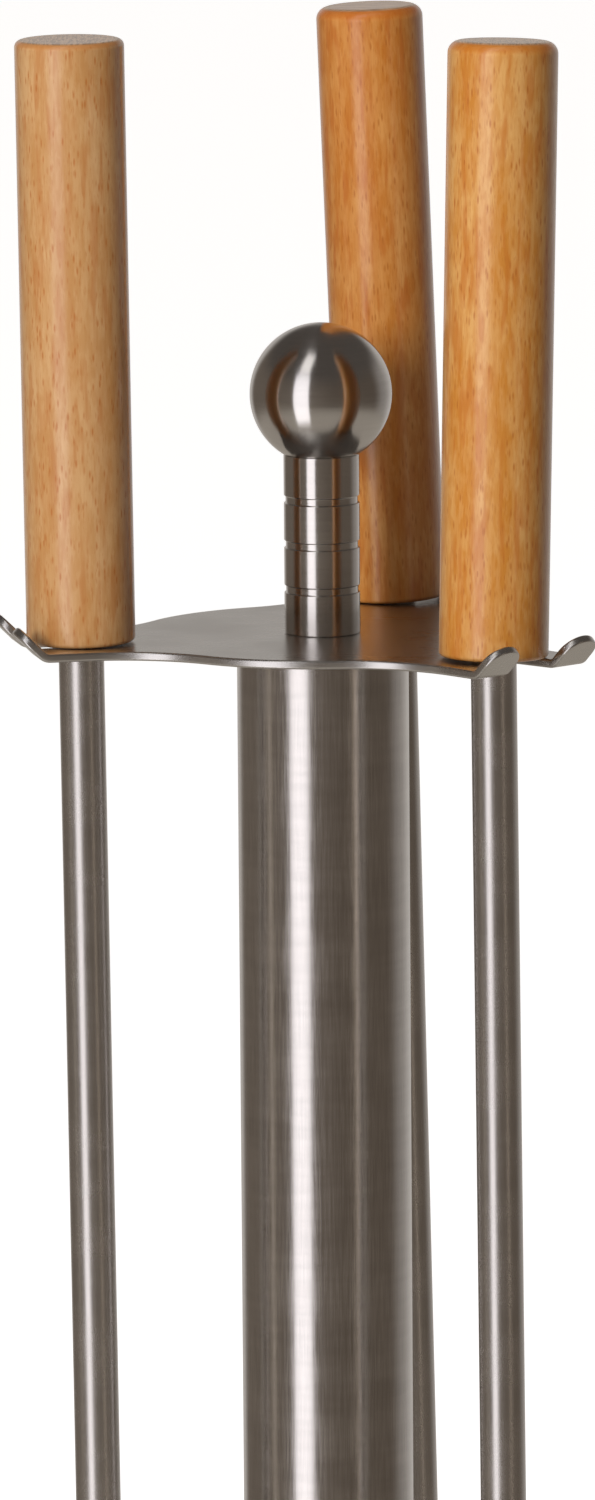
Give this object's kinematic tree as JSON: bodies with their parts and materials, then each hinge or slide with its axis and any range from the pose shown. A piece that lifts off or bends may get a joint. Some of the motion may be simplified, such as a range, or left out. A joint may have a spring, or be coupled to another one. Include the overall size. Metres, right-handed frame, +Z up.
{
  "type": "fireplace tool set",
  "caption": "Free-standing hearth companion: round weighted base, steel column and lobed hanger plate with ball knob, carrying a shovel, a poker and a brush with thick wooden handles.",
  "frame": {"origin": "middle of the floor pad's underside, on the column's axis", "axes": "+Z up along the column; -Y is the side the set is mostly seen from, with the shovel to the -X side, the poker in front to the +X side and the brush behind"},
  "size_m": [0.226, 0.226, 0.6714],
  "materials": {
    "varnished_beech": "clear varnish, satin gloss",
    "brushed_stainless": "fine brushed, bright",
    "satin_steel": "turned and satin polished",
    "plain_steel": "plain machined",
    "ballast_iron": "raw casting",
    "pad_rubber": "matte",
    "core_wood": "unfinished",
    "bristle_fibre": "stiff natural fibre"
  },
  "bodies": {
    "stand": {"ball_knob": "satin_steel", "ball_stud": "plain_steel", "base_ballast": "ballast_iron", "base_cover": "brushed_stainless", "base_nut": "plain_steel", "base_washer": "plain_steel", "column_lower_plug": "plain_steel", "column_tube": "brushed_stainless", "column_upper_plug": "plain_steel", "floor_pad": "pad_rubber", "hanger_plate": "brushed_stainless", "index_pin": "plain_steel", "neck": "satin_steel", "tie_rod": "plain_steel"},
    "shovel": {"shovel_handle": "varnished_beech", "shovel_handle_screw": "plain_steel", "shovel_pan": "brushed_stainless", "shovel_rivets": "plain_steel", "shovel_rod": "brushed_stainless", "shovel_socket": "brushed_stainless", "shovel_upper_plug": "plain_steel", "socket_pin": "plain_steel"},
    "poker": {"poker_handle": "varnished_beech", "poker_handle_screw": "plain_steel", "poker_hook": "brushed_stainless", "poker_lower_plug": "plain_steel", "poker_rod": "brushed_stainless", "poker_tip": "brushed_stainless", "poker_upper_plug": "plain_steel"},
    "brush": {"brush_bristles": "bristle_fibre", "brush_cap": "brushed_stainless", "brush_core": "core_wood", "brush_handle": "varnished_beech", "brush_handle_screw": "plain_steel", "brush_lower_plug": "plain_steel", "brush_rod": "brushed_stainless", "brush_screw": "plain_steel", "brush_upper_plug": "plain_steel"}
  },
  "joints": [
    {"name": "shovel_lift_out", "type": "slide", "parent": "stand", "child": "shovel", "axis": [-0.4921, -0.1269, 0.8612], "range_m": [0, 0.25]},
    {"name": "poker_lift_out", "type": "slide", "parent": "stand", "child": "poker", "axis": [0.3375, -0.3533, 0.8725], "range_m": [0, 0.25]},
    {"name": "brush_lift_out", "type": "slide", "parent": "stand", "child": "brush", "axis": [0.1308, 0.4676, 0.8742], "range_m": [0, 0.25]}
  ]
}
